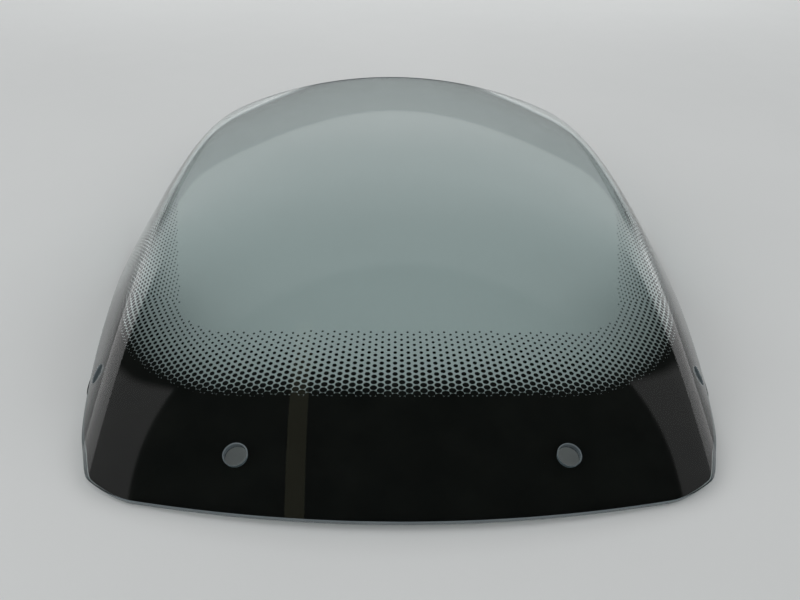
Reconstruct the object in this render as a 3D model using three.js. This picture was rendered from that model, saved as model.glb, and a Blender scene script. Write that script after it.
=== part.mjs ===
// Motorcycle windshield screen: one sheet of tinted clear plastic, formed to a low dome, with an opaque
// black border printed on its inner face and four fixing holes.
//
// The screen lies hollow side down, on its lower corners and the rear of its side edges. X is across, -Y is
// the lower edge that meets the fairing, +Y is the top edge that faces the rider, and Z is up. Millimetres.
//
// A place on the sheet is (u, v): u is the distance across from the centre line, measured along the surface,
// and v is the distance up the centre line from the lower edge. The outer face is worked out from (u, v), and
// every other face lies a set depth below it.
import * as THREE from 'three';

// ---- the sheet
const SHEET = 4.5; // thickness
const LENGTH = 491; // along the centre line, lower edge to top edge
const EDGE_HEIGHT = 6.5; // of the lower edge's middle above the rest plane, outer face
const FRONT_SLOPE = 25.1; // degrees that the centre line climbs at the lower edge
const REAR_SLOPE = -7.95; // and at the top edge, where it falls again
const FRONT_CROWN = 1186; // radius across the middle at the lower edge
const REAR_CROWN = 368; // and at the top edge
const FRONT_BEND = 50; // degrees that each shoulder turns down by at the lower edge
const REAR_BEND = 33.5; // and at the top edge
const FRONT_SHOULDER = 187; // u of the shoulder's middle at the lower edge
const REAR_SHOULDER = 162.5; // and at the top edge
const SHOULDER_WIDTH = 12; // how gradually it turns

// ---- the trimmed outline
const LOWER_BOW = 27; // how far the lower edge sweeps back at LOWER_BOW_WIDTH
const LOWER_BOW_WIDTH = 200; // u
const LOWER_CORNER = 13; // reach of the round at the lower corners
const SIDE_LIFT = 4.4; // height of the side edges above the rest plane in the front half
const LIFT_RISE = { start: 22, end: 55 }; // v between which they rise to it from the lower corner
const LIFT_FALL = { start: 180, end: 280 }; // and come down again
const SIDE_CORNER = { v: 314, reach: 38 }; // where the side edge turns in towards the top
const TOP_CORNER = { u: 147, v: 488, reach: 26 }; // where it meets the top edge

// ---- the fixing holes, one pair beside the centre line and one pair low on the flanks
const HOLE_RADIUS = 6.5;
const SEAT_RADIUS = 10; // flat ring for a washer
const SEAT_FLAT = 11; // within which the sheet is quite flat
const SEAT_BLEND = 26; // where it is back to its own curve
const HOLES = [{ u: 94.3, v: 40.8 }, { u: 197, v: 111 }];

// ---- the printed border
const INK = 0.2; // thickness of the printed layer
const INK_GAP = 0.6; // between the sheet and the layer
const PRINT_MARGIN = 2; // clear rim outside the print
const WINDOW_FOOT = 92; // v of the clear window's lower border at the centre line
const WINDOW_RISE = 17; // by which that border has risen at the window's corners
const WINDOW_HALF = 172; // half the window's width there, in u
const WINDOW_CORNER = 34; // reach of the round at its lower corners
const FLANK_PRINT_END = 236; // v at which the print ends on the flanks
const FLANK_PRINT_WIDTH = 40; // of the print there

// ---- fineness
const COLUMNS = 44; // cells across the sheet
const ROWS = 36; // cells up the sheet
const CROWDING = 1.25; // radians; how far the columns crowd towards the sides
const PRINT_COLUMNS = 84; // cells along the printed border
const PRINT_ROWS = 7; // cells across it
const RING = 24; // sides of a round hole
const SURROUND = 17; // radius of a ring of points between a seat and the grid
const ARC_STEPS = 24; // of the sums along the section
const CURVE_STEPS = 40; // of each stretch of an outline
const BISECTIONS = 40;
const NORMAL_STEP = 0.25; // in u and v, for the slopes of the surface

const radians = THREE.MathUtils.degToRad;
const mix = THREE.MathUtils.lerp;

// ---------------------------------------------------------------- the formed surface

// The angle by which the section has turned down at u, on the cross-section through v.
function sectionAngle(u, v) {
  const t = v / LENGTH;
  const crown = mix(FRONT_CROWN, REAR_CROWN, t);
  const bend = radians(mix(FRONT_BEND, REAR_BEND, t));
  const shoulder = mix(FRONT_SHOULDER, REAR_SHOULDER, t);
  const turned = Math.tanh((u - shoulder) / SHOULDER_WIDTH) + Math.tanh(shoulder / SHOULDER_WIDTH);
  return u / crown + (bend * turned) / 2;
}

// The free-formed outer face, before the washer seats are pressed flat.
function formedPoint(u, v) {
  const side = Math.sign(u);
  const step = Math.abs(u) / ARC_STEPS;
  let across = 0;
  let drop = 0;
  for (let i = 0; i < ARC_STEPS; i += 1) {
    const angle = sectionAngle((i + 0.5) * step, v);
    across += Math.cos(angle) * step;
    drop += Math.sin(angle) * step;
  }
  const start = radians(FRONT_SLOPE);
  const turn = radians(REAR_SLOPE - FRONT_SLOPE) / LENGTH;
  const slope = start + turn * v;
  const y = (Math.sin(slope) - Math.sin(start)) / turn;
  const z = EDGE_HEIGHT + (Math.cos(start) - Math.cos(slope)) / turn;
  return new THREE.Vector3(side * across, y + drop * Math.sin(slope), z - drop * Math.cos(slope));
}

function normalOf(surface, u, v) {
  const along = surface(u + NORMAL_STEP, v).sub(surface(u - NORMAL_STEP, v));
  const up = surface(u, v + NORMAL_STEP).sub(surface(u, v - NORMAL_STEP));
  return along.cross(up).normalize();
}

// A washer seat: its hole's place and centre on the outer face, its outward normal, and two axes in its
// plane.
function makeSeat(u, v) {
  const centre = formedPoint(u, v);
  const normal = normalOf(formedPoint, u, v);
  const e1 = new THREE.Vector3(0, 1, 0).projectOnPlane(normal).normalize();
  const e2 = normal.clone().cross(e1);
  return { u, v, centre, normal, e1, e2 };
}

const SEATS = HOLES.flatMap(({ u, v }) => [makeSeat(-u, v), makeSeat(u, v)]);

// The outer face, flat around each hole and blended back to the formed curve.
function outerPoint(u, v) {
  const point = formedPoint(u, v);
  for (const seat of SEATS) {
    const offset = point.clone().sub(seat.centre);
    const flat = 1 - THREE.MathUtils.smoothstep(offset.length(), SEAT_FLAT, SEAT_BLEND);
    if (flat > 0) point.addScaledVector(seat.normal, -flat * offset.dot(seat.normal));
  }
  return point;
}

// A point of the sheet with its outward normal, from which a point at any depth follows.
function sheetPoint(u, v) {
  return { point: outerPoint(u, v), normal: normalOf(outerPoint, u, v) };
}

function atDepth({ point, normal }, depth) {
  return point.clone().addScaledVector(normal, -depth);
}

// ---------------------------------------------------------------- the outline, in (u, v)

function lowerEdge(u) {
  return LOWER_BOW * (u / LOWER_BOW_WIDTH) ** 2;
}

function topEdge(u) {
  return mix(LENGTH, TOP_CORNER.v, (u / TOP_CORNER.u) ** 2);
}

function bisect(low, high, isHigh) {
  let [a, b] = [low, high];
  for (let i = 0; i < BISECTIONS; i += 1) {
    const middle = (a + b) / 2;
    if (isHigh(middle)) b = middle;
    else a = middle;
  }
  return (a + b) / 2;
}

// The side edge is where the inner face meets the rest plane, or stays a little above it near the front.
function sideEdge(v) {
  const ramp = ({ start, end }) => THREE.MathUtils.smoothstep(v, start, end);
  const height = SIDE_LIFT * (ramp(LIFT_RISE) - ramp(LIFT_FALL));
  return bisect(REAR_SHOULDER, 2 * REAR_SHOULDER, (u) => atDepth(sheetPoint(u, v), SHEET).z < height);
}

// A rounded corner, from a point before it to a point after it.
function corner(from, at, to) {
  return new THREE.QuadraticBezierCurve(from, at, to).getPoints(CURVE_STEPS);
}

// A stretch of an outline, given by a formula.
function stretch(start, end, pointAt) {
  return Array.from({ length: CURVE_STEPS + 1 }, (_, i) => pointAt(mix(start, end, i / CURVE_STEPS)));
}

// The right half of the outline as three runs: along the bottom, up the side and along the top. They meet at
// the middles of the lower corner and the top corner.
function rightOutline() {
  const lower = (u) => new THREE.Vector2(u, lowerEdge(u));
  const side = (v) => new THREE.Vector2(sideEdge(v), v);
  const top = (u) => new THREE.Vector2(u, topEdge(u));
  const lowV = bisect(0, LENGTH / 2, (v) => lowerEdge(sideEdge(v)) < v);
  const lowU = sideEdge(lowV);
  const [sideAt, topAt] = [side(SIDE_CORNER.v), top(TOP_CORNER.u)];
  const inwards = topAt.clone().sub(sideAt).normalize();
  const leave = sideAt.clone().addScaledVector(inwards, SIDE_CORNER.reach);
  const arrive = topAt.clone().addScaledVector(inwards, -TOP_CORNER.reach);
  const topStart = TOP_CORNER.u - TOP_CORNER.reach;
  const sideEnd = SIDE_CORNER.v - SIDE_CORNER.reach;
  const lowerRound = corner(lower(lowU - LOWER_CORNER), side(lowV), side(lowV + LOWER_CORNER));
  const topRound = corner(arrive, topAt, top(topStart));
  const half = CURVE_STEPS / 2;
  return {
    bottom: [...stretch(0, lowU - LOWER_CORNER, lower), ...lowerRound.slice(1, half + 1)],
    side: [
      ...lowerRound.slice(half, -1),
      ...stretch(lowV + LOWER_CORNER, sideEnd, side),
      ...corner(side(sideEnd), sideAt, leave).slice(1),
      ...topRound.slice(0, half + 1),
    ],
    top: [...topRound.slice(half, -1), ...stretch(topStart, 0, top)],
  };
}

// A function that walks along a row of points, from 0 at its start to 1 at its end.
function walker(points) {
  const lengths = [0];
  points.slice(1).forEach((p, i) => lengths.push(lengths[i] + p.distanceTo(points[i])));
  const total = lengths.at(-1);
  return (fraction) => {
    const wanted = THREE.MathUtils.clamp(fraction, 0, 1) * total;
    let i = 1;
    while (i < lengths.length - 1 && lengths[i] < wanted) i += 1;
    return points[i - 1].clone().lerp(points[i], (wanted - lengths[i - 1]) / (lengths[i] - lengths[i - 1]));
  };
}

// ---------------------------------------------------------------- grids with round holes in them

// Joins two closed loops around a seat with triangles, by the angle at which each of their points lies.
function stitch(outer, inner, angleOf, triangles) {
  const turn = 2 * Math.PI;
  const byAngle = (a, b) => a.angle - b.angle;
  const ordered = (loop) => loop.map((id) => ({ id, angle: angleOf(id) })).sort(byAngle);
  const [a, b] = [ordered(outer), ordered(inner)];
  const angleAt = (loop, i) => loop[i % loop.length].angle + turn * Math.floor(i / loop.length);
  let [i, j] = [0, 0];
  while (i < a.length || j < b.length) {
    const stepOuter = j >= b.length || (i < a.length && angleAt(a, i + 1) <= angleAt(b, j + 1));
    const [p, q] = [a[i % a.length].id, b[j % b.length].id];
    if (stepOuter) {
      triangles.push([p, a[(i + 1) % a.length].id, q]);
      i += 1;
    } else {
      triangles.push([p, b[(j + 1) % b.length].id, q]);
      j += 1;
    }
  }
}

// A skin is a grid of sheet points with a round hole at each seat that it reaches. It is returned as its
// points, its triangles facing outward, and the closed loops of its rims.
function makeSkin(columns, rows, placeOf, holeRadius) {
  const points = [];
  const triangles = [];
  const id = (i, j) => j * (columns + 1) + i;
  for (let j = 0; j <= rows; j += 1) {
    for (let i = 0; i <= columns; i += 1) {
      const { x, y } = placeOf(i / columns, j / rows);
      points.push(sheetPoint(x, y));
    }
  }
  const removed = new Set();
  const rims = [];
  for (const seat of SEATS) {
    const inside = (k) => points[k].point.distanceTo(seat.centre) < SURROUND;
    let [left, right, low, high] = [columns, 0, rows, 0];
    for (let j = 0; j <= rows; j += 1) {
      for (let i = 0; i <= columns; i += 1) {
        if (inside(id(i, j))) {
          [left, right] = [Math.min(left, i), Math.max(right, i)];
          [low, high] = [Math.min(low, j), Math.max(high, j)];
        }
      }
    }
    rims.push(openHole(seat, { left: left - 1, right: right + 1, low: low - 1, high: high + 1 }));
  }

  // Takes out a block of cells around a seat, and fills it with the flat ring and its hole.
  function openHole(seat, block) {
    const left = Math.max(block.left, 0);
    const right = Math.min(block.right, columns);
    const low = Math.max(block.low, 0);
    const high = Math.min(block.high, rows);
    for (let j = low; j < high; j += 1) {
      for (let i = left; i < right; i += 1) removed.add(id(i, j));
    }
    const loop = [];
    for (let i = left; i < right; i += 1) loop.push(id(i, low));
    for (let j = low; j < high; j += 1) loop.push(id(right, j));
    for (let i = right; i > left; i -= 1) loop.push(id(i, high));
    for (let j = high; j > low; j -= 1) loop.push(id(left, j));
    const ring = (placeAt) =>
      Array.from({ length: RING }, (_, k) => {
        const angle = (2 * Math.PI * (k + 0.5)) / RING - Math.PI;
        return points.push(placeAt(Math.cos(angle), Math.sin(angle))) - 1;
      });
    const onCurve = (c, s) => sheetPoint(seat.u + SURROUND * c, seat.v + SURROUND * s);
    const onSeat = (radius) => (c, s) => ({
      point: seat.centre.clone().addScaledVector(seat.e1, radius * c).addScaledVector(seat.e2, radius * s),
      normal: seat.normal,
    });
    const angleOf = (k) => {
      const offset = points[k].point.clone().sub(seat.centre);
      return Math.atan2(offset.dot(seat.e2), offset.dot(seat.e1));
    };
    const [surround, edge, hole] = [ring(onCurve), ring(onSeat(SEAT_RADIUS)), ring(onSeat(holeRadius))];
    stitch(loop, surround, angleOf, triangles);
    stitch(surround, edge, angleOf, triangles);
    stitch(edge, hole, angleOf, triangles);
    return hole.reverse();
  }

  for (let j = 0; j < rows; j += 1) {
    for (let i = 0; i < columns; i += 1) {
      if (removed.has(id(i, j))) continue;
      const [a, b, c, d] = [id(i, j), id(i + 1, j), id(i + 1, j + 1), id(i, j + 1)];
      const rising = i < columns / 2 === j < rows / 2;
      if (rising) triangles.push([a, b, c], [a, c, d]);
      else triangles.push([a, b, d], [b, c, d]);
    }
  }
  const border = [];
  for (let i = 0; i < columns; i += 1) border.push(id(i, 0));
  for (let j = 0; j < rows; j += 1) border.push(id(columns, j));
  for (let i = columns; i > 0; i -= 1) border.push(id(i, rows));
  for (let j = rows; j > 0; j -= 1) border.push(id(0, j));
  rims.push(border);
  return { points, triangles, rims };
}

// Closes a skin to a solid between two depths below the outer face.
function thicken({ points, triangles, rims }, near, far) {
  const count = points.length;
  const positions = [near, far].flatMap((depth) => points.flatMap((p) => atDepth(p, depth).toArray()));
  const index = [];
  for (const [a, b, c] of triangles) index.push(a, b, c, a + count, c + count, b + count);
  for (const rim of rims) {
    rim.forEach((a, k) => {
      const b = rim[(k + 1) % rim.length];
      index.push(a, a + count, b, b, a + count, b + count);
    });
  }
  const used = new Map();
  const compact = [];
  const remap = index.map((k) => {
    if (!used.has(k)) {
      used.set(k, used.size);
      compact.push(...positions.slice(3 * k, 3 * k + 3));
    }
    return used.get(k);
  });
  const geometry = new THREE.BufferGeometry();
  geometry.setAttribute('position', new THREE.Float32BufferAttribute(compact, 3));
  geometry.setIndex(remap);
  geometry.computeVertexNormals();
  return geometry;
}

// ---------------------------------------------------------------- the sub-parts

const outline = rightOutline();
const walks = Object.fromEntries(Object.entries(outline).map(([name, run]) => [name, walker(run)]));

// The sheet's grid fills the outline: its four sides follow the four runs of the outline. Its columns are
// closer together at the shoulders, where the sheet bends most.
function sheetPlace(fractionAcross, t) {
  const s = Math.sin(CROWDING * (2 * fractionAcross - 1)) / Math.sin(CROWDING);
  const bottom = walks.bottom(Math.abs(s));
  const top = walks.top(1 - Math.abs(s));
  const side = walks.side(t);
  const [lowCorner, highCorner] = [walks.side(0), walks.side(1)];
  const sign = Math.sign(s);
  const u = mix(sign * bottom.x, sign * top.x, t) + s * (side.x - mix(lowCorner.x, highCorner.x, t));
  const v = mix(bottom.y, top.y, t) + side.y - mix(lowCorner.y, highCorner.y, t);
  return new THREE.Vector2(u, v);
}

function makeScreenShell() {
  const skin = makeSkin(COLUMNS, ROWS, sheetPlace, HOLE_RADIUS);
  const material = new THREE.MeshStandardMaterial({
    color: 0x93a09f,
    roughness: 0.05,
    metalness: 0,
    transparent: true,
    opacity: 0.45,
  });
  return new THREE.Mesh(thicken(skin, 0, SHEET), material);
}

// The right half of the print's outer border follows the outline, a margin inside it, and ends on the flank.
function printOuter() {
  const run = [...outline.bottom, ...outline.side.slice(1)];
  const inset = run.map((p, i) => {
    const ahead = run[Math.min(i + 1, run.length - 1)].clone().sub(run[Math.max(i - 1, 0)]).normalize();
    return new THREE.Vector2(p.x - ahead.y * PRINT_MARGIN, p.y + ahead.x * PRINT_MARGIN);
  });
  return inset.filter((p) => p.y < FLANK_PRINT_END);
}

// The right half of its inner border is the foot and side of the clear window.
function printInner() {
  const foot = (u) => WINDOW_FOOT + WINDOW_RISE * (u / WINDOW_HALF) ** 2;
  const endU = sideEdge(FLANK_PRINT_END) - PRINT_MARGIN - FLANK_PRINT_WIDTH;
  const sideU = (v) => mix(WINDOW_HALF, endU, (v - WINDOW_FOOT) / (FLANK_PRINT_END - WINDOW_FOOT));
  const at = new THREE.Vector2(WINDOW_HALF, foot(WINDOW_HALF));
  const from = new THREE.Vector2(WINDOW_HALF - WINDOW_CORNER, foot(WINDOW_HALF - WINDOW_CORNER));
  const to = new THREE.Vector2(sideU(at.y + WINDOW_CORNER), at.y + WINDOW_CORNER);
  return [
    ...stretch(0, from.x, (u) => new THREE.Vector2(u, foot(u))),
    ...corner(from, at, to).slice(1),
    ...stretch(to.y, FLANK_PRINT_END, (v) => new THREE.Vector2(sideU(v), v)).slice(1),
  ];
}

function makeBlackBorderPrint() {
  const [outer, inner] = [walker(printOuter()), walker(printInner())];
  const place = (fractionAlong, fractionAcross) => {
    const s = 2 * fractionAlong - 1;
    const p = outer(Math.abs(s)).lerp(inner(Math.abs(s)), fractionAcross);
    return new THREE.Vector2(Math.sign(s) * p.x, p.y);
  };
  const skin = makeSkin(PRINT_COLUMNS, PRINT_ROWS, place, HOLE_RADIUS + INK_GAP);
  const near = SHEET + INK_GAP;
  const material = new THREE.MeshStandardMaterial({ color: 0x0d0f0e, roughness: 0.5, metalness: 0 });
  return new THREE.Mesh(thicken(skin, near, near + INK), material);
}

const SUB_PARTS = { screen_shell: makeScreenShell, black_border_print: makeBlackBorderPrint };

const screen = new THREE.Group();
for (const [name, make] of Object.entries(SUB_PARTS)) {
  const mesh = make();
  mesh.name = name;
  screen.add(mesh);
}

// The origin is on the rest plane, under the middle of the screen.
const box = new THREE.Box3().setFromObject(screen);
screen.position.set(-(box.min.x + box.max.x) / 2, -(box.min.y + box.max.y) / 2, -box.min.z);

export default screen;
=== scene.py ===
import math

import bpy
import numpy as np
from mathutils import Matrix, Vector


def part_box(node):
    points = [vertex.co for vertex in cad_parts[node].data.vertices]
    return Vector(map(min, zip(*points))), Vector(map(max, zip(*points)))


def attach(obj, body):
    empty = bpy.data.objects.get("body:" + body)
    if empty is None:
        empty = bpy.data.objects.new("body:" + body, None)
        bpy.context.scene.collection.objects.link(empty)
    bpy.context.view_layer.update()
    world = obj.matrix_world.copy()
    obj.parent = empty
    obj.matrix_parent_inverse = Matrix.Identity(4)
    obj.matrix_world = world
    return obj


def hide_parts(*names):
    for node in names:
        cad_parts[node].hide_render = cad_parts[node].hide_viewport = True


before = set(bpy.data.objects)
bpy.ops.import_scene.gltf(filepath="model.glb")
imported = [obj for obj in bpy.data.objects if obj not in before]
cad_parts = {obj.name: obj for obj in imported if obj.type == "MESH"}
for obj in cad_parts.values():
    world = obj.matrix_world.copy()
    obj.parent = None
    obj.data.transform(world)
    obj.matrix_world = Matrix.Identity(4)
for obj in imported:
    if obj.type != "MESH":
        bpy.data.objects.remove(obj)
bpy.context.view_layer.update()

SHELL_LOW, SHELL_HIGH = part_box("screen_shell")

# ---- the formed sheet
SHEET = 0.0045
LENGTH = 0.491
FRONT_SLOPE, REAR_SLOPE = math.radians(25.1), math.radians(-7.95)
FRONT_CROWN, REAR_CROWN = 1.186, 0.368
FRONT_BEND, REAR_BEND = math.radians(50), math.radians(33.5)
FRONT_SHOULDER, REAR_SHOULDER = 0.187, 0.1625
SHOULDER_WIDTH = 0.012
SKIN_INSET = 0.00005  # keeps the smooth faces inside the faceted solid
INNER = SHEET - SKIN_INSET  # depth of the inner face

# ---- the trimmed outline
EDGE_HEIGHT = 0.0065
LOWER_BOW, LOWER_BOW_WIDTH = 0.027, 0.2
LOWER_CORNER = 0.013
SIDE_LIFT = 0.0044
LIFT_RISE = (0.022, 0.055)
LIFT_FALL = (0.18, 0.28)
SIDE_CORNER_V, SIDE_CORNER_REACH = 0.314, 0.038
TOP_CORNER_U, TOP_CORNER_V, TOP_CORNER_REACH = 0.147, 0.488, 0.026
EDGE_ROUND = 0.0006  # radius of the polished arrises
HOLE_ROUND = 0.0007
ROUND_STEPS = 3  # facets in each quarter turn of an arris

# ---- the fixing holes
HOLE_RADIUS = 0.0065
SURROUND = 0.015  # radius of the outermost ring of points round a hole
HOLES = ((0.0943, 0.0408), (0.197, 0.111))

# ---- the print: a solid border that breaks up into dots towards the clear window
INK_INSIDE = 0.00012  # how far the ink reaches into the sheet
INK_PROUD = 0.00003  # and stands out of its inner face
INK_MARGIN = 0.0012  # clear rim outside the print
INK_HOLE_MARGIN = 0.0001
INK_ROUND = (INK_INSIDE + INK_PROUD) / 4
INK_REAR_GAP = 0.0005  # v between the border's last inner point and the place where the flanks' fade begins
CONTOUR_REACH = 0.2  # how far out from the window the solid border is looked for
WINDOW_FOOT = 0.1245  # v of the window's lower border at the centre line
WINDOW_FOOT_RISE = 0.0055  # by which it has risen at WINDOW_RISE_U
WINDOW_RISE_U = 0.125
WINDOW_HALF = 0.142  # u of the window's side border at WINDOW_HALF_V
WINDOW_HALF_V = 0.152
WINDOW_FLARE = 0.19  # by which that border moves out for each metre of v
WINDOW_ROUND = 0.024  # radius of the window's lower corners
FADE = 0.048  # width of the band of dots
REAR_FADE = (0.195, 0.300)  # v over which the flanks' print dies away

# ---- the dots lie on a hexagonal lattice (a, b) that the forming has stretched: a runs across, and b towards
# the lower edge
DOT_PITCH = 0.005
DOT_SMALLEST = 0.00078  # radius beside the window
DOT_GROWTH = 0.0013  # radius gained evenly across the band of dots
DOT_SPREAD = 0.00075  # and gained only just before the print becomes solid
SPREAD_POWER = 6
DOT_LAST_TONE = 1.06  # the dots go on a little way under the solid border
DOT_SIDES = 18
DOT_INSIDE = 0.00015  # how far the dots reach into the sheet
DOT_PROUD = 0.00002
DOT_CLEARANCE = 0.003  # from a dot's centre to the sheet's edge
LATTICE_V = 0.0985  # v of the row b = 0 at the centre line
LATTICE_COLUMNS, LATTICE_ROWS = (-100, 101), (-170, 30)  # more than the sheet holds
LATTICE_HALF = 0.2  # a at which the two sweeps below are given
ROW_STRETCH = 0.77
ROW_SWEEP, ROW_CURL = 0.0168, 0.0079
COLUMN_STRETCH = 0.94
COLUMN_FAN = 2.0  # stretch gained for each metre of b
FAN_LIMIT = -0.045  # of b
COLUMN_SQUEEZE = 0.14
STRAIGHT_FROM = 0.17  # a beyond which the lattice goes on at an even pitch

# ---- looks
SHEET_TINT = (0.695, 0.775, 0.77)  # of what shows through the sheet
FACE_PASS = 0.95  # share of the light that each face lets in
SHEET_IOR = 1.49
NOISE_LOW, NOISE_HIGH = 0.3, 0.7  # noise values at which a variation reaches its two ends
NOISE_DETAIL = 3.0
# variations over a surface: noise scale, then the two ends
SHEET_ROUGHNESS = (14, 0.0, 0.012)
EDGE_COLOURS = (60, (0.085, 0.105, 0.115), (0.115, 0.14, 0.15))
EDGE_ROUGHNESS = (300, 0.12, 0.25)
INK_COLOURS = (40, (0.004, 0.0045, 0.004), (0.007, 0.0075, 0.0065))
INK_ROUGHNESS = (60, 0.4, 0.5)
FLOOR_COLOURS = (3, (0.63, 0.645, 0.645), (0.655, 0.67, 0.67))
FLOOR_ROUGHNESS = (30, 0.5, 0.6)
INK_SPECULAR, FLOOR_SPECULAR = 0.03, 0.2
# bumps: distance, then strength
SHEET_WAVES, INK_GRAIN = (0.00002, 0.5), (0.00001, 0.3)
WAVE_SCALE, WAVE_DETAIL = 9, 1.0

# ---- the studio
# greys of the surroundings, by the sine of the height above the horizon
WALL = [(0.0, 0.18), (0.335, 0.12), (0.345, 0.45), (0.6, 0.45),
        (0.76, 0.24), (0.84, 0.22), (0.85, 0.02), (1.0, 0.02)]
GAP = [(0.0, 1.4), (0.56, 1.3), (0.58, 0.02), (1.0, 0.02)]
SIDE_PANELS = [(0.0, 1.4), (0.56, 1.3), (0.58, 0.42), (0.852, 0.42), (0.856, 0.02), (1.0, 0.02)]
CAMERA_SIDE = [(0.0, 1.0), (0.72, 1.0), (0.78, 0.02), (1.0, 0.02)]
# where each of the last three takes over, in shares of a half turn away from straight behind the screen
TURNS = [(0.2, 0.24), (0.325, 0.335), (0.53, 0.6)]
SIDE_TILT = 0.04  # by which the heights are lower on the right
BACKDROP = (0.5, 0.51, 0.51)
# soft lights: name, centre, target, size, radiance
PANELS = [
    ("front_light", (-0.1, -0.4, 1.0), (-0.05, -0.2, 0), (0.8, 0.6), 1.0),
    ("left_light", (-1.0, -0.15, 0.85), (0, -0.15, 0), (0.8, 0.8), 1.3),
    ("right_light", (1.0, -0.15, 0.85), (0, -0.15, 0), (0.8, 0.8), 1.1),
    ("back_light", (0, 1.35, 0.5), (0, 0.75, 0), (2.2, 0.5), 2.2),
]
# a narrow one that the sheet does mirror
STRIP = ("olive_strip", (-0.336, -0.1, 1.5), (-0.336, -0.1, 0), (0.07, 1.2), 0.2)
STRIP_COLOUR = (1, 0.97, 0.6)
FLOOR_HALF = 4.0
CAMERA_LENS, CAMERA_SENSOR = 40.53, 36
CAMERA_PITCH, CAMERA_YAW, CAMERA_ROLL = 33.86, 1.775, 1.298  # degrees
CAMERA_DISTANCE = 0.5459
CAMERA_AIM = (-0.0012, 0.12, 0.0695)  # from the middle of the lower edge

# ---- fineness
COLUMNS, ROWS = 150, 150
CROWDING = 1.2
INK_COLUMNS, INK_ROWS = 340, 36
RING, RINGS = 48, 4
ARC_MIDDLES = (np.arange(24) + 0.5) / 24
CURVE_STEPS = 80
BISECT_STEPS = 30
NORMAL_STEP = 0.00025


def mix(a, b, t):
    return a + (b - a) * t


def smoothstep(x, low, high):
    t = np.clip((x - low) / (high - low), 0, 1)
    return t * t * (3 - 2 * t)


def unit(vectors):
    return vectors / np.linalg.norm(vectors, axis=-1, keepdims=True)


# ---------------------------------------------------------------- the formed surface

def section_angle(u, v):
    """How far the section has turned down at u, on the cross-section through v."""
    t = v / LENGTH
    shoulder = mix(FRONT_SHOULDER, REAR_SHOULDER, t)
    turned = np.tanh((u - shoulder) / SHOULDER_WIDTH) + np.tanh(shoulder / SHOULDER_WIDTH)
    return u / mix(FRONT_CROWN, REAR_CROWN, t) + mix(FRONT_BEND, REAR_BEND, t) * turned / 2


TURN = (REAR_SLOPE - FRONT_SLOPE) / LENGTH
CREST = EDGE_HEIGHT + (math.cos(FRONT_SLOPE) - 1) / TURN  # height of the centre line's highest point
ORIGIN = np.array([0, SHELL_LOW.y, SHELL_HIGH.z - CREST])


def formed(u, v):
    """The outer face."""
    u, v = np.broadcast_arrays(np.asarray(u, float), np.asarray(v, float))
    span = np.abs(u)
    angle = section_angle(span[..., None] * ARC_MIDDLES, v[..., None])
    across = span * np.cos(angle).mean(-1)
    drop = span * np.sin(angle).mean(-1)
    slope = FRONT_SLOPE + TURN * v
    y = (np.sin(slope) - math.sin(FRONT_SLOPE)) / TURN + drop * np.sin(slope)
    z = EDGE_HEIGHT + (math.cos(FRONT_SLOPE) - np.cos(slope)) / TURN - drop * np.cos(slope)
    return np.stack([np.sign(u) * across, y, z], -1) + ORIGIN


def normals_of(u, v):
    along = formed(u + NORMAL_STEP, v) - formed(u - NORMAL_STEP, v)
    up = formed(u, v + NORMAL_STEP) - formed(u, v - NORMAL_STEP)
    return unit(np.cross(along, up))


def place(u, v, depth):
    """(points, normals) at a depth below the outer face."""
    normals = normals_of(u, v)
    return formed(u, v) - depth * normals, normals


class Hole:
    """A fixing hole: its place, and two axes across it by which the points round it are told apart."""

    def __init__(self, u, v):
        self.u, self.v = u, v
        self.centre, normal = place(u, v, 0)
        self.e1 = unit(np.array([0, 1, 0]) - normal[1] * normal)
        self.e2 = np.cross(normal, self.e1)

    def ring(self, radius, depth):
        """(points, normals, directions towards the hole's axis) of a ring round it."""
        angle = 2 * np.pi * (np.arange(RING) + 0.5) / RING
        points, normals = place(self.u + radius * np.cos(angle), self.v + radius * np.sin(angle), depth)
        inward = self.centre - points
        inward = inward - (inward * normals).sum(1, keepdims=True) * normals
        return points, normals, unit(inward)

    def angle_of(self, points):
        offset = points - self.centre
        return np.arctan2(offset @ self.e2, offset @ self.e1)


FIXING_HOLES = [Hole(side * u, v) for u, v in HOLES for side in (-1, 1)]


# ---------------------------------------------------------------- the outline, in (u, v)

def lower_edge(u):
    return LOWER_BOW * (u / LOWER_BOW_WIDTH) ** 2


def top_edge(u):
    return mix(LENGTH, TOP_CORNER_V, (u / TOP_CORNER_U) ** 2)


def bisect(low, high, is_high):
    """The value between low and high at which is_high becomes true."""
    for _ in range(BISECT_STEPS):
        middle = (low + high) / 2
        over = is_high(middle)
        low, high = np.where(over, low, middle), np.where(over, middle, high)
    return (low + high) / 2


def side_edge(v):
    """u at which the inner face comes down to the rest plane, or a little above it near the front."""
    v = np.asarray(v, float)
    height = SIDE_LIFT * (smoothstep(v, *LIFT_RISE) - smoothstep(v, *LIFT_FALL)) + ORIGIN[2]
    low = np.full(v.shape, REAR_SHOULDER)
    return bisect(low, 2 * low, lambda u: place(u, v, SHEET)[0][..., 2] < height)


def corner(start, at, end):
    t = np.linspace(0, 1, CURVE_STEPS + 1)[:, None]
    return mix(mix(start, at, t), mix(at, end, t), t)


def stretch(start, end, point_at):
    return point_at(np.linspace(start, end, CURVE_STEPS + 1))


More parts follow.
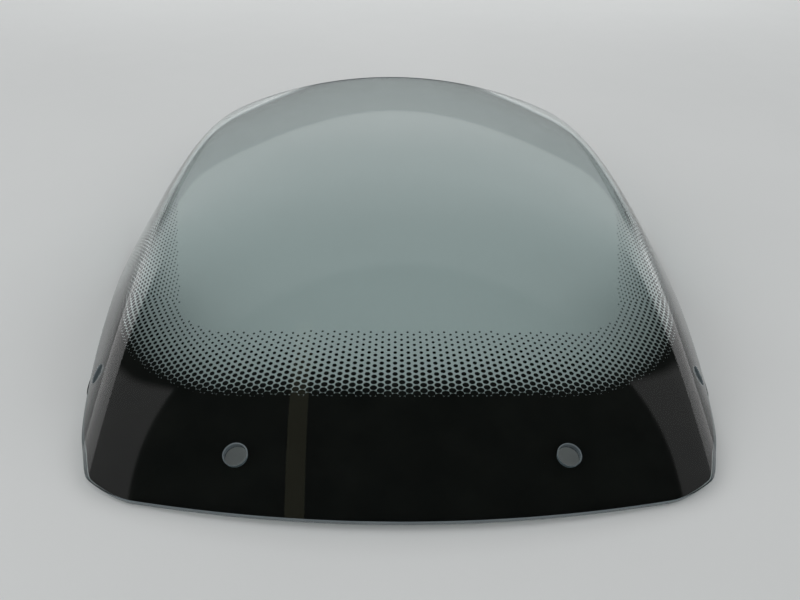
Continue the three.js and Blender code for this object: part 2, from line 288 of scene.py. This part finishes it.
def right_outline():
    """The right half of the outline: its runs along the bottom, up the side and along the top."""
    def lower(u):
        return np.stack([u, lower_edge(u)], -1)

    def side(v):
        return np.stack([side_edge(v), v], -1)

    def top(u):
        return np.stack([u, top_edge(u)], -1)

    low_v = bisect(np.array(0.0), np.array(LENGTH / 2), lambda v: lower_edge(side_edge(v)) < v)
    low_u = side_edge(low_v)
    side_at, top_at = side(np.array(SIDE_CORNER_V)), top(np.array(TOP_CORNER_U))
    inwards = unit(top_at - side_at)
    top_start = TOP_CORNER_U - TOP_CORNER_REACH
    side_end = SIDE_CORNER_V - SIDE_CORNER_REACH
    low_round = corner(lower(low_u - LOWER_CORNER), side(low_v), side(low_v + LOWER_CORNER))
    side_round = corner(side(np.array(side_end)), side_at, side_at + inwards * SIDE_CORNER_REACH)
    top_round = corner(top_at - inwards * TOP_CORNER_REACH, top_at, top(np.array(top_start)))
    half = CURVE_STEPS // 2
    bottom = [stretch(0, low_u - LOWER_CORNER, lower), low_round[1 : half + 1]]
    flank = [low_round[half:-1], stretch(low_v + LOWER_CORNER, side_end, side)]
    flank += [side_round[1:], top_round[: half + 1]]
    roof = [top_round[half:-1], stretch(top_start, 0, top)]
    return [np.concatenate(run) for run in (bottom, flank, roof)]


def walker(points):
    """A function that walks along a row of points, from 0 at its start to 1 at its end."""
    lengths = np.concatenate([[0], np.cumsum(np.linalg.norm(np.diff(points, axis=0), axis=1))])

    def walk(fraction):
        wanted = np.clip(fraction, 0, 1) * lengths[-1]
        return np.stack([np.interp(wanted, lengths, points[:, k]) for k in (0, 1)], -1)

    return walk


OUTLINE = right_outline()
BOTTOM, FLANK, ROOF = [walker(run) for run in OUTLINE]


def sheet_place(across, t):
    """(u, v) of the sheet's grid, whose four sides follow the runs of the outline."""
    s = np.sin(CROWDING * (2 * across - 1)) / math.sin(CROWDING)
    bottom, top, side = BOTTOM(np.abs(s)), ROOF(1 - np.abs(s)), FLANK(t)
    low, high = FLANK(0), FLANK(1)
    u = mix(np.sign(s) * bottom[..., 0], np.sign(s) * top[..., 0], t)
    u = u + s * (side[..., 0] - mix(low[0], high[0], t))
    v = mix(bottom[..., 1], top[..., 1], t) + side[..., 1] - mix(low[1], high[1], t)
    return u, v


# ---------------------------------------------------------------- solids made of two skins and rounded rims

class Skin:
    """A grid of sheet points with round holes in it: its points, normals, faces and rims."""

    def __init__(self, columns, rows, place_of, hole_radius, depth):
        self.columns, self.rows = columns, rows
        across, up = np.meshgrid(np.arange(columns + 1) / columns, np.arange(rows + 1) / rows)
        u, v = place_of(across, up)
        points, normals = place(u, v, depth)
        self.points, self.normals = points.reshape(-1, 3), normals.reshape(-1, 3)
        self.faces, self.rims = [], []
        removed = set()
        for hole in FIXING_HOLES:
            removed |= self.open_hole(hole, hole_radius, depth)
        for j in range(rows):
            for i in range(columns):
                if (i, j) not in removed:
                    ids = (self.id(i, j), self.id(i + 1, j), self.id(i + 1, j + 1), self.id(i, j + 1))
                    self.faces.append(ids)
        border = [self.id(i, 0) for i in range(columns)] + [self.id(columns, j) for j in range(rows)]
        border += [self.id(i, rows) for i in range(columns, 0, -1)]
        border += [self.id(0, j) for j in range(rows, 0, -1)]
        self.rims.append((border, self.border_outward(border)))

    def id(self, i, j):
        return j * (self.columns + 1) + i

    def add(self, points, normals):
        first = len(self.points)
        self.points = np.concatenate([self.points, points])
        self.normals = np.concatenate([self.normals, normals])
        return list(range(first, first + len(points)))

    def border_outward(self, border):
        """Directions out of the sheet, in its own plane, at each point of its border."""
        points = self.points[border]
        along = unit(np.roll(points, -1, axis=0) - np.roll(points, 1, axis=0))
        return unit(np.cross(along, self.normals[border]))

    def open_hole(self, hole, radius, depth):
        """Takes out a block of cells round a hole and fills it with rings. Returns the cells taken out."""
        count = (self.columns + 1) * (self.rows + 1)
        near = np.linalg.norm(self.points[:count] - hole.centre, axis=1) < SURROUND
        rows, columns = np.nonzero(near.reshape(self.rows + 1, self.columns + 1))
        left, right = max(columns.min() - 1, 0), min(columns.max() + 1, self.columns)
        low, high = max(rows.min() - 1, 0), min(rows.max() + 1, self.rows)
        loop = [self.id(i, low) for i in range(left, right)] + [self.id(right, j) for j in range(low, high)]
        loop += [self.id(i, high) for i in range(right, left, -1)]
        loop += [self.id(left, j) for j in range(high, low, -1)]
        rings = [loop]
        for distance in np.linspace(SURROUND, radius, RINGS):
            points, normals, inward = hole.ring(distance, depth)
            rings.append(self.add(points, normals))
        for outside, inside in zip(rings, rings[1:]):
            self.stitch(outside, inside, hole)
        self.rims.append((rings[-1][::-1], inward[::-1]))
        return {(i, j) for i in range(left, right) for j in range(low, high)}

    def stitch(self, outside, inside, hole):
        """Joins two closed loops round a hole with triangles, by the angle at which each point lies."""
        loops = []
        for loop in (outside, inside):
            angles = hole.angle_of(self.points[loop])
            order = np.argsort(angles)
            turned = np.concatenate([angles[order], angles[order][:1] + 2 * np.pi])
            loops.append(([loop[k] for k in order], turned))
        (a, a_angles), (b, b_angles) = loops
        i = j = 0
        while i < len(a) or j < len(b):
            p, q = a[i % len(a)], b[j % len(b)]
            if j >= len(b) or (i < len(a) and a_angles[i + 1] <= b_angles[j + 1]):
                i += 1
                self.faces.append((p, a[i % len(a)], q))
            else:
                j += 1
                self.faces.append((p, b[j % len(b)], q))

    def solid(self, name, thickness, edge_round, hole_round, round_steps):
        """Closes the skin to a solid of this thickness and rounds its rims, which get the second material."""
        used = sorted({k for face in self.faces for k in face})
        number = {k: n for n, k in enumerate(used)}
        rims = [(*rim, hole_round) for rim in self.rims[:-1]] + [(*self.rims[-1], edge_round)]
        outer_points = self.points.copy()
        for rim, outward, radius in rims:
            outer_points[rim] -= radius * outward
        top, normals = outer_points[used], self.normals[used]
        points = [top, top - thickness * normals]
        directions = [normals, -normals]
        count = len(used)
        faces = [tuple(number[k] for k in face) for face in self.faces]
        faces += [tuple(number[k] + count for k in reversed(face)) for face in self.faces]
        total = 2 * count
        turns = np.linspace(0, np.pi / 2, round_steps + 1)[1:]
        for rim, outward, radius in rims:
            up, base = self.normals[rim], self.points[rim]
            levels = [[number[k] for k in rim]]
            profile = [(a, 1) for a in turns] + [(a, -1) for a in turns[::-1]]
            for a, facing in profile:
                depth = radius * (1 - math.cos(a))
                if facing < 0:
                    depth = thickness - depth
                inset = radius * (1 - math.sin(a))
                points.append(base - inset * outward - depth * up)
                directions.append(math.sin(a) * outward + facing * math.cos(a) * up)
                levels.append(list(range(total, total + len(rim))))
                total += len(rim)
            levels.append([number[k] + count for k in rim])
            for above, below in zip(levels, levels[1:]):
                for k in range(len(rim)):
                    n = (k + 1) % len(rim)
                    faces.append((above[k], below[k], below[n], above[n]))
        piece = make_mesh(name, np.concatenate(points), faces, np.concatenate(directions))
        for polygon in piece.data.polygons[2 * len(self.faces):]:
            polygon.material_index = 1
        return piece


def make_mesh(name, points, faces, normals=None):
    mesh = bpy.data.meshes.new(name)
    mesh.from_pydata(points.tolist(), [], faces)
    mesh.validate()
    mesh.update()
    piece = bpy.data.objects.new(name, mesh)
    bpy.context.scene.collection.objects.link(piece)
    if normals is not None:
        mesh.shade_smooth()
        mesh.normals_split_custom_set_from_vertices(unit(normals).tolist())
    return piece


# ---------------------------------------------------------------- the print

def window_distance(u, v):
    """How far a place lies outside the clear window, which has straight sides and rounded lower corners."""
    half = WINDOW_HALF + WINDOW_FLARE * (v - WINDOW_HALF_V)
    foot = WINDOW_FOOT + WINDOW_FOOT_RISE * (u / WINDOW_RISE_U) ** 2
    dx = np.abs(u) - half + WINDOW_ROUND
    dy = foot + WINDOW_ROUND - v
    outside = np.hypot(np.maximum(dx, 0), np.maximum(dy, 0))
    return outside + np.minimum(np.maximum(dx, dy), 0) - WINDOW_ROUND


def tone(u, v):
    """0 in the clear window, 1 where the print becomes solid."""
    rear = mix(1, 0, (v - REAR_FADE[0]) / (REAR_FADE[1] - REAR_FADE[0]))
    return np.minimum(window_distance(u, v) / FADE, rear)


def print_outer():
    """The right half of the print's outer border: the outline, a margin inside it, up to its rear end."""
    run = np.concatenate([OUTLINE[0], OUTLINE[1][1:]])
    ahead = unit(np.gradient(run, axis=0))
    inset = run + INK_MARGIN * np.stack([-ahead[:, 1], ahead[:, 0]], -1)
    return inset[inset[:, 1] < REAR_FADE[0]]


def print_inner():
    """The right half of its inner border, where the tone reaches 1."""
    def on_contour(start, direction):
        far = bisect(np.zeros(len(start)), np.full(len(start), CONTOUR_REACH),
                     lambda r: tone(*(start + r[:, None] * direction).T) > 1)
        return start + far[:, None] * direction

    centre = np.array([WINDOW_HALF - WINDOW_ROUND, WINDOW_FOOT + WINDOW_ROUND])
    foot = np.stack([np.linspace(0, centre[0], CURVE_STEPS), np.full(CURVE_STEPS, centre[1])], -1)
    below = on_contour(foot, np.tile([0.0, -1.0], (CURVE_STEPS, 1)))
    angle = np.linspace(-np.pi / 2, 0, CURVE_STEPS)[1:]
    turn = np.stack([np.cos(angle), np.sin(angle)], -1)
    round_corner = on_contour(np.tile(centre, (len(turn), 1)), turn)
    heights = np.linspace(centre[1], REAR_FADE[0] - INK_REAR_GAP, CURVE_STEPS)[1:]
    side = np.stack([np.full(len(heights), centre[0]), heights], -1)
    beside = on_contour(side, np.tile([1.0, 0.0], (len(side), 1)))
    return np.concatenate([below, round_corner, beside])


def make_border():
    outside, inside = walker(print_outer()), walker(print_inner())

    def place_of(along, across):
        s = 2 * along - 1
        p = mix(outside(np.abs(s)), inside(np.abs(s)), across[..., None])
        return np.sign(s) * p[..., 0], p[..., 1]

    skin = Skin(INK_COLUMNS, INK_ROWS, place_of, HOLE_RADIUS + INK_HOLE_MARGIN, INNER - INK_INSIDE)
    return skin.solid("black_border", INK_INSIDE + INK_PROUD, INK_ROUND, INK_ROUND, 1)


def make_shell():
    skin = Skin(COLUMNS, ROWS, sheet_place, HOLE_RADIUS, SKIN_INSET)
    return skin.solid("screen_sheet", SHEET - 2 * SKIN_INSET, EDGE_ROUND, HOLE_ROUND, ROUND_STEPS)


def lattice(a, b):
    """(u, v) of a place on the lattice, which goes straight on beyond STRAIGHT_FROM."""
    near = np.clip(a, -STRAIGHT_FROM, STRAIGHT_FROM)
    beyond = a - near
    share = near / LATTICE_HALF
    stretch_here = COLUMN_STRETCH + COLUMN_FAN * np.maximum(b, FAN_LIMIT)
    u = near * (stretch_here - COLUMN_SQUEEZE * share**2)
    u = u + beyond * (stretch_here - 3 * COLUMN_SQUEEZE * share**2)
    slope = (2 * ROW_SWEEP * share + 4 * ROW_CURL * share**3) / LATTICE_HALF
    v = LATTICE_V - ROW_STRETCH * b + ROW_SWEEP * share**2 + ROW_CURL * share**4 + slope * beyond
    return u, v


def dot_centres():
    """(a, b, tone) of every dot that lies on the sheet and isn't swallowed by the solid border."""
    across, along = DOT_PITCH * math.sqrt(3) / 2, DOT_PITCH / 2
    columns, rows = np.meshgrid(np.arange(*LATTICE_COLUMNS), np.arange(*LATTICE_ROWS))
    kept = (columns + rows) % 2 == 0
    a, b = columns[kept] * across, rows[kept] * along
    u, v = lattice(a, b)
    shade = tone(u, v)
    inside = np.abs(u) < np.interp(v, OUTLINE[1][:, 1], OUTLINE[1][:, 0]) - DOT_CLEARANCE
    kept = (shade > 0) & (shade < DOT_LAST_TONE) & inside
    return a[kept], b[kept], shade[kept]


def make_dots():
    a, b, shade = dot_centres()
    radius = DOT_SMALLEST + DOT_GROWTH * shade + DOT_SPREAD * shade**SPREAD_POWER
    angle = 2 * np.pi * np.arange(DOT_SIDES) / DOT_SIDES
    # a dot ends where its six neighbours' dots begin, which lie at 30 degrees, 90 degrees and so on
    cell = DOT_PITCH / 2 / np.cos(angle % (np.pi / 3) - np.pi / 6)
    reach = np.minimum(radius[:, None], cell)
    u, v = lattice(a[:, None] + reach * np.cos(angle), b[:, None] + reach * np.sin(angle))
    middle, up = place(u, v, INNER)
    count = len(a) * DOT_SIDES
    points = np.concatenate([middle + DOT_INSIDE * up, middle - DOT_PROUD * up]).reshape(-1, 3)
    faces = []
    for first in range(0, count, DOT_SIDES):
        top = list(range(first, first + DOT_SIDES))
        faces.append(tuple(reversed(top)))
        faces.append(tuple(k + count for k in top))
        for k in range(DOT_SIDES):
            p, q = top[k], top[(k + 1) % DOT_SIDES]
            faces.append((p, q, q + count, p + count))
    return make_mesh("border_dots", points, faces)


# ---------------------------------------------------------------- materials

def new_material(name):
    material = bpy.data.materials.new(name)
    material.use_nodes = True
    tree = material.node_tree
    return material, tree, tree.nodes["Principled BSDF"]


def add_node(tree, kind, inputs=None, **settings):
    """Adds a node whose inputs are linked where a socket is given, or else set. Returns its outputs."""
    node = tree.nodes.new("ShaderNode" + kind)
    for name, value in settings.items():
        setattr(node, name, value)
    for key, value in (inputs or {}).items():
        if isinstance(value, bpy.types.NodeSocket):
            tree.links.new(value, node.inputs[key])
        else:
            node.inputs[key].default_value = value
    return node.outputs


def add_noise(tree, scale, detail=NOISE_DETAIL):
    coordinates = add_node(tree, "TexCoord")["Object"]
    return add_node(tree, "TexNoise", {"Vector": coordinates, "Scale": scale, "Detail": detail})["Fac"]


def add_ramp(tree, value, stops):
    """Colours that follow a value: stops are (value, grey or colour) pairs."""
    ramp = tree.nodes.new("ShaderNodeValToRGB")
    elements = ramp.color_ramp.elements
    elements.remove(elements[0])
    for index, (position, colour) in enumerate(stops):
        element = elements[0] if index == 0 else elements.new(position)
        element.position, element.color = position, (*np.broadcast_to(colour, 3), 1)
    tree.links.new(value, ramp.inputs["Fac"])
    return ramp.outputs["Color"]


def vary(tree, socket, scale, low, high):
    """Lets a socket wander between two values or two colours. Returns the noise that it follows."""
    noise = add_noise(tree, scale)
    if isinstance(low, tuple):
        varied = add_ramp(tree, noise, [(NOISE_LOW, low), (NOISE_HIGH, high)])
    else:
        limits = {"From Min": NOISE_LOW, "From Max": NOISE_HIGH, "To Min": low, "To Max": high}
        varied = add_node(tree, "MapRange", {"Value": noise, **limits})["Result"]
    tree.links.new(varied, socket)
    return noise


def add_bump(tree, shader, height, distance, strength):
    bump = add_node(tree, "Bump", {"Height": height, "Distance": distance, "Strength": strength})
    tree.links.new(bump["Normal"], shader.inputs["Normal"])


def tinted_sheet():
    """Clear plastic with a light grey-green tint. Light for the things under it comes straight through."""
    material, tree, shader = new_material("tinted_clear_sheet")
    shader.inputs["Base Color"].default_value = (*SHEET_TINT, 1)
    shader.inputs["Transmission Weight"].default_value = 1.0
    shader.inputs["IOR"].default_value = SHEET_IOR
    vary(tree, shader.inputs["Roughness"], *SHEET_ROUGHNESS)
    add_bump(tree, shader, add_noise(tree, WAVE_SCALE, WAVE_DETAIL), *SHEET_WAVES)
    passed = [FACE_PASS * math.sqrt(c) for c in SHEET_TINT]
    through = add_node(tree, "BsdfTransparent", {"Color": (*passed, 1)})["BSDF"]
    path = add_node(tree, "LightPath")
    rays = {0: path["Is Shadow Ray"], 1: path["Is Diffuse Ray"]}
    indirect = add_node(tree, "Math", rays, operation="MAXIMUM")["Value"]
    either = add_node(tree, "MixShader", {"Fac": indirect, 1: shader.outputs["BSDF"], 2: through})
    tree.links.new(either["Shader"], tree.nodes["Material Output"].inputs["Surface"])
    return material


def cut_edge():
    """The sheet's polished cut edges, where its tint gathers."""
    material, tree, shader = new_material("cut_edge")
    vary(tree, shader.inputs["Base Color"], *EDGE_COLOURS)
    vary(tree, shader.inputs["Roughness"], *EDGE_ROUGHNESS)
    return material


def black_ink():
    """Screen-printed ink, deep black and satin."""
    material, tree, shader = new_material("black_ink")
    vary(tree, shader.inputs["Base Color"], *INK_COLOURS)
    cloud = vary(tree, shader.inputs["Roughness"], *INK_ROUGHNESS)
    shader.inputs["Specular IOR Level"].default_value = INK_SPECULAR
    add_bump(tree, shader, cloud, *INK_GRAIN)
    return material


def floor_paper():
    """The pale sheet that the screen lies on."""
    material, tree, shader = new_material("floor_paper")
    vary(tree, shader.inputs["Base Color"], *FLOOR_COLOURS)
    vary(tree, shader.inputs["Roughness"], *FLOOR_ROUGHNESS)
    shader.inputs["Specular IOR Level"].default_value = FLOOR_SPECULAR
    return material


# ---------------------------------------------------------------- the pieces

def finish_piece(piece, node, slot, *materials):
    for material in materials:
        piece.data.materials.append(material)
    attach(piece, "root")
    if node:
        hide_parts(node)


INK = black_ink()
finish_piece(make_shell(), "screen_shell", "tinted_clear_sheet", tinted_sheet(), cut_edge())
finish_piece(make_border(), "black_border_print", "black_ink", INK, INK)
finish_piece(make_dots(), None, "black_ink", INK)


# ---------------------------------------------------------------- the studio

def make_floor():
    corners = FLOOR_HALF * np.array([(-1, -1, 0), (1, -1, 0), (1, 1, 0), (-1, 1, 0)])
    floor = make_mesh("floor", corners, [(0, 1, 2, 3)])
    floor.data.materials.append(floor_paper())


def make_panel(name, centre, target, size, radiance, colour=(1, 1, 1), mirrored=False):
    """A soft rectangular light that faces a target. The sheet shows it only if it is mirrored."""
    data = bpy.data.lights.new(name, "AREA")
    data.shape = "RECTANGLE"
    data.size, data.size_y = size
    data.energy = radiance * math.pi * size[0] * size[1]
    panel = bpy.data.objects.new(name, data)
    bpy.context.scene.collection.objects.link(panel)
    panel.location = centre
    panel.rotation_mode = "QUATERNION"
    panel.rotation_quaternion = (Vector(target) - Vector(centre)).to_track_quat("-Z", "Y")
    data.color = colour
    panel.visible_glossy = mirrored
    panel.visible_transmission = False


def make_surroundings():
    """What the sheet mirrors: a pale wall behind it, pale panels beside it, and a dark ceiling."""
    world = bpy.data.worlds.new("studio")
    bpy.context.scene.world = world
    world.use_nodes = True
    tree = world.node_tree
    towards = add_node(tree, "SeparateXYZ", {"Vector": add_node(tree, "TexCoord")["Generated"]})
    sideways = add_node(tree, "Math", {0: towards["X"]}, operation="ABSOLUTE")["Value"]
    bearing = add_node(tree, "Math", {0: sideways, 1: towards["Y"]}, operation="ARCTAN2")["Value"]
    turned = add_node(tree, "Math", {0: bearing, 1: math.pi}, operation="DIVIDE")["Value"]
    tilted = {0: towards["X"], 1: SIDE_TILT, 2: towards["Z"]}
    height = add_node(tree, "Math", tilted, operation="MULTIPLY_ADD")["Value"]

    def mixed(factor, a, b):
        return add_node(tree, "Mix", {"Factor": factor, "A": a, "B": b}, data_type="RGBA")["Result"]

    seen = add_ramp(tree, height, WALL)
    for stops, (start, end) in zip((GAP, SIDE_PANELS, CAMERA_SIDE), TURNS):
        taken_over = add_ramp(tree, turned, [(start, 0.0), (end, 1.0)])
        seen = mixed(taken_over, seen, add_ramp(tree, height, stops))
    seen = mixed(add_node(tree, "LightPath")["Is Camera Ray"], seen, (*BACKDROP, 1))
    tree.links.new(seen, tree.nodes["Background"].inputs["Color"])


def make_camera():
    data = bpy.data.cameras.new("camera")
    data.lens = CAMERA_LENS
    data.sensor_width = CAMERA_SENSOR
    camera = bpy.data.objects.new("camera", data)
    bpy.context.scene.collection.objects.link(camera)
    bpy.context.scene.camera = camera
    pitch, yaw, roll = [math.radians(angle) for angle in (CAMERA_PITCH, CAMERA_YAW, CAMERA_ROLL)]
    forward = Vector((math.sin(yaw) * math.cos(pitch), math.cos(yaw) * math.cos(pitch), -math.sin(pitch)))
    level = Vector((math.cos(yaw), -math.sin(yaw), 0))
    upright = level.cross(forward)
    right = level * math.cos(roll) + upright * math.sin(roll)
    up = upright * math.cos(roll) - level * math.sin(roll)
    aim = Vector((CAMERA_AIM[0], SHELL_LOW.y + CAMERA_AIM[1], CAMERA_AIM[2]))
    turned = Matrix((right, up, -forward)).transposed().to_4x4()
    camera.matrix_world = Matrix.Translation(aim - CAMERA_DISTANCE * forward) @ turned


make_floor()
make_surroundings()
for panel in PANELS:
    make_panel(*panel)
make_panel(*STRIP, STRIP_COLOUR, mirrored=True)
make_camera()
bpy.context.scene.view_settings.view_transform = "Standard"
